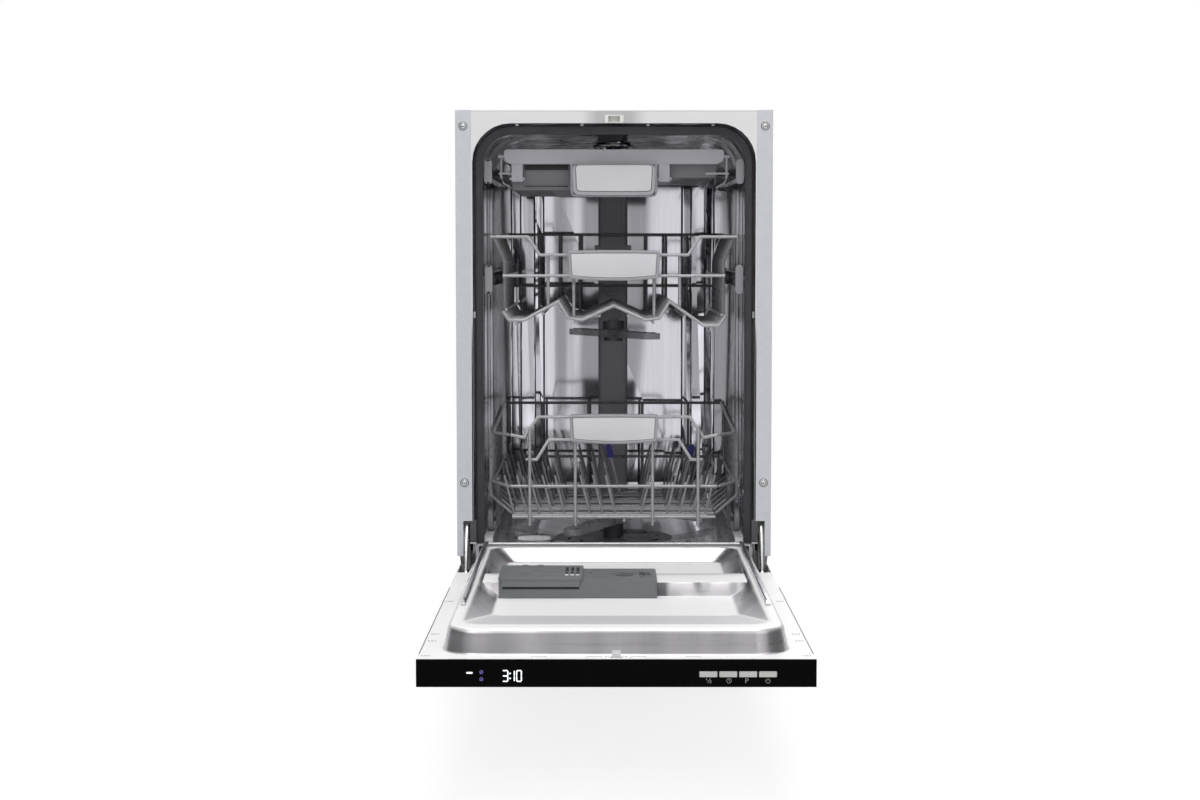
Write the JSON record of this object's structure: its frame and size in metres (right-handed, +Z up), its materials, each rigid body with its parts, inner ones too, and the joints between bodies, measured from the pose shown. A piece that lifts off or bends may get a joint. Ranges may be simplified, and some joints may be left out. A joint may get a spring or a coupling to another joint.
{
  "type": "dishwasher",
  "caption": "Slim built-in dishwasher with its drop-down door open: steel tub, cutlery tray, upper and lower wire baskets on slides, spray arms and controls on the door edge.",
  "frame": {"origin": "on the floor, midway between the rear of the cabinet and the tip of the open door", "axes": "+X to the right seen from the front, front faces -Y, +Z up"},
  "size_m": [0.448, 1.22, 0.815],
  "materials": {
    "polished_steel": "polished stainless sheet with a faint grain",
    "liner_steel": "brushed stainless sheet",
    "galvanised": "galvanised sheet",
    "hinge_steel": "zinc-plated steel",
    "rail_steel": "rolled stainless",
    "coated_wire": "silver-grey nylon coating on steel wire",
    "seal_rubber": "dark grey rubber",
    "dark_plastic": "dark grey moulded plastic",
    "grey_plastic": "mid grey moulded plastic",
    "light_plastic": "light grey moulded plastic",
    "black_plastic": "black moulded plastic",
    "black_gloss": "gloss black plastic",
    "silver_plastic": "silver-lacquered plastic",
    "blue_plastic": "blue moulded plastic",
    "board": "circuit board lacquer"
  },
  "bodies": {
    "cabinet": {"tub_wrap": "polished_steel", "tub_back_wall": "polished_steel", "tub_floor": "polished_steel", "door_seals": "seal_rubber", "side_panels": "galvanised", "top_panel": "galvanised", "rear_panel": "galvanised", "door_striker": "light_plastic", "water_duct": "dark_plastic", "ceiling_sprayer": "polished_steel", "sump": "dark_plastic", "filters": "grey_plastic", "softener": "light_plastic", "pumps": "black_plastic", "hose_connections": "light_plastic", "base_tray": "black_plastic", "kick_plate": "black_plastic", "hinge_brackets": "hinge_steel", "rack_guides": "light_plastic"},
    "door": {"door_outer_panel": "galvanised", "door_inner_liner": "liner_steel", "door_tracks": "rail_steel", "dispenser_body": "grey_plastic", "control_panel": "black_gloss", "control_boards": "board", "door_latch": "hinge_steel", "hinge_arms": "hinge_steel"},
    "dispenser_lid": {"dispenser_lid": "grey_plastic"},
    "rinse_cap": {"rinse_cap": "dark_plastic"},
    "tray_rails": {"tray_rails": "rail_steel", "tray_rail_caps": "grey_plastic"},
    "cutlery_tray": {"tray_frame": "grey_plastic", "tray_handle": "light_plastic", "tray_inserts": "grey_plastic"},
    "upper_rails": {"upper_rails": "rail_steel", "upper_rail_caps": "grey_plastic"},
    "upper_carriers": {"upper_carriers": "grey_plastic", "adjust_levers": "blue_plastic"},
    "upper_basket": {"upper_basket_wires": "coated_wire", "upper_handle": "light_plastic", "feed_pipe": "dark_plastic"},
    "upper_spray_arm": {"upper_spray_arm": "dark_plastic"},
    "lower_spray_arm": {"lower_spray_arm": "dark_plastic"},
    "lower_basket": {"lower_basket_wires": "coated_wire", "lower_handle": "light_plastic", "tine_clips": "grey_plastic", "wheel_brackets": "grey_plastic"},
    "fold_rack": {"fold_rack": "coated_wire", "rack_grips": "blue_plastic"},
    "wheels_front": {"wheels_front": "light_plastic"},
    "wheels_rear": {"wheels_rear": "light_plastic"},
    "salt_cap": {"salt_cap": "grey_plastic"},
    "button_1": {"button_1": "silver_plastic"},
    "button_2": {"button_2": "silver_plastic"},
    "button_3": {"button_3": "silver_plastic"},
    "button_4": {"button_4": "silver_plastic"},
    "foot_front_left": {"foot_front_left": "black_plastic"},
    "foot_rear_left": {"foot_rear_left": "black_plastic"},
    "foot_front_right": {"foot_front_right": "black_plastic"},
    "foot_rear_right": {"foot_rear_right": "black_plastic"}
  },
  "joints": [
    {"name": "door_hinge", "type": "hinge", "parent": "cabinet", "child": "door", "pos_m": [0, 0.0475, 0.1555], "axis": [1, 0, 0], "range_deg": [-90, 0]},
    {"name": "dispenser_lid_slide", "type": "slide", "parent": "door", "child": "dispenser_lid", "axis": [1, 0, 0], "range_m": [0, 0.095]},
    {"name": "rinse_cap_turn", "type": "hinge", "parent": "door", "child": "rinse_cap", "pos_m": [0.012, -0.204, 0.19], "axis": [0, 0, 1], "range_deg": [0, 90]},
    {"name": "tray_rails_slide", "type": "slide", "parent": "cabinet", "child": "tray_rails", "axis": [0, -1, 0], "range_m": [0, 0.19]},
    {"name": "cutlery_tray_slide", "type": "slide", "parent": "tray_rails", "child": "cutlery_tray", "axis": [0, -1, 0], "range_m": [0, 0.21]},
    {"name": "upper_rails_slide", "type": "slide", "parent": "cabinet", "child": "upper_rails", "axis": [0, -1, 0], "range_m": [0, 0.19]},
    {"name": "upper_basket_slide", "type": "slide", "parent": "upper_rails", "child": "upper_carriers", "axis": [0, -1, 0], "range_m": [0, 0.21]},
    {"name": "upper_basket_lift", "type": "slide", "parent": "upper_carriers", "child": "upper_basket", "axis": [0, 0, 1], "range_m": [0, 0.04]},
    {"name": "upper_arm_spin", "type": "hinge", "parent": "upper_basket", "child": "upper_spray_arm", "pos_m": [0, 0.307, 0.485], "axis": [0, 0, 1], "continuous": true},
    {"name": "lower_arm_spin", "type": "hinge", "parent": "cabinet", "child": "lower_spray_arm", "pos_m": [0, 0.315, 0.2], "axis": [0, 0, 1], "continuous": true},
    {"name": "lower_basket_slide", "type": "slide", "parent": "cabinet", "child": "lower_basket", "axis": [0, -1, 0], "range_m": [0, 0.42]},
    {"name": "fold_rack_hinge", "type": "hinge", "parent": "lower_basket", "child": "fold_rack", "pos_m": [0, 0.39278, 0.23132], "axis": [-1, 0, 0], "range_deg": [0, 72]},
    {"name": "wheels_front_roll", "type": "hinge", "parent": "lower_basket", "child": "wheels_front", "pos_m": [0, 0.17833, 0.2198], "axis": [1, 0, 0], "continuous": true},
    {"name": "wheels_rear_roll", "type": "hinge", "parent": "lower_basket", "child": "wheels_rear", "pos_m": [0, 0.43567, 0.2198], "axis": [1, 0, 0], "continuous": true},
    {"name": "salt_cap_turn", "type": "hinge", "parent": "cabinet", "child": "salt_cap", "pos_m": [-0.118, 0.182, 0.19], "axis": [0, 0, 1], "range_deg": [0, 90]},
    {"name": "button_1_press", "type": "slide", "parent": "door", "child": "button_1", "axis": [0, 1, 0], "range_m": [0, 0.0015], "stiffness_N_per_m": 600, "springref_m": -0.0005},
    {"name": "button_2_press", "type": "slide", "parent": "door", "child": "button_2", "axis": [0, 1, 0], "range_m": [0, 0.0015], "stiffness_N_per_m": 600, "springref_m": -0.0005},
    {"name": "button_3_press", "type": "slide", "parent": "door", "child": "button_3", "axis": [0, 1, 0], "range_m": [0, 0.0015], "stiffness_N_per_m": 600, "springref_m": -0.0005},
    {"name": "button_4_press", "type": "slide", "parent": "door", "child": "button_4", "axis": [0, 1, 0], "range_m": [0, 0.0015], "stiffness_N_per_m": 600, "springref_m": -0.0005},
    {"name": "foot_front_left_adjust", "type": "slide", "parent": "cabinet", "child": "foot_front_left", "axis": [0, 0, -1], "range_m": [0, 0.05]},
    {"name": "foot_rear_left_adjust", "type": "slide", "parent": "cabinet", "child": "foot_rear_left", "axis": [0, 0, -1], "range_m": [0, 0.05]},
    {"name": "foot_front_right_adjust", "type": "slide", "parent": "cabinet", "child": "foot_front_right", "axis": [0, 0, -1], "range_m": [0, 0.05]},
    {"name": "foot_rear_right_adjust", "type": "slide", "parent": "cabinet", "child": "foot_rear_right", "axis": [0, 0, -1], "range_m": [0, 0.05]}
  ],
  "couplings": [
    {"joint": "wheels_front_roll", "follows": "lower_basket_slide", "rad_per_m": 58.824},
    {"joint": "wheels_rear_roll", "follows": "lower_basket_slide", "rad_per_m": 58.824}
  ]
}
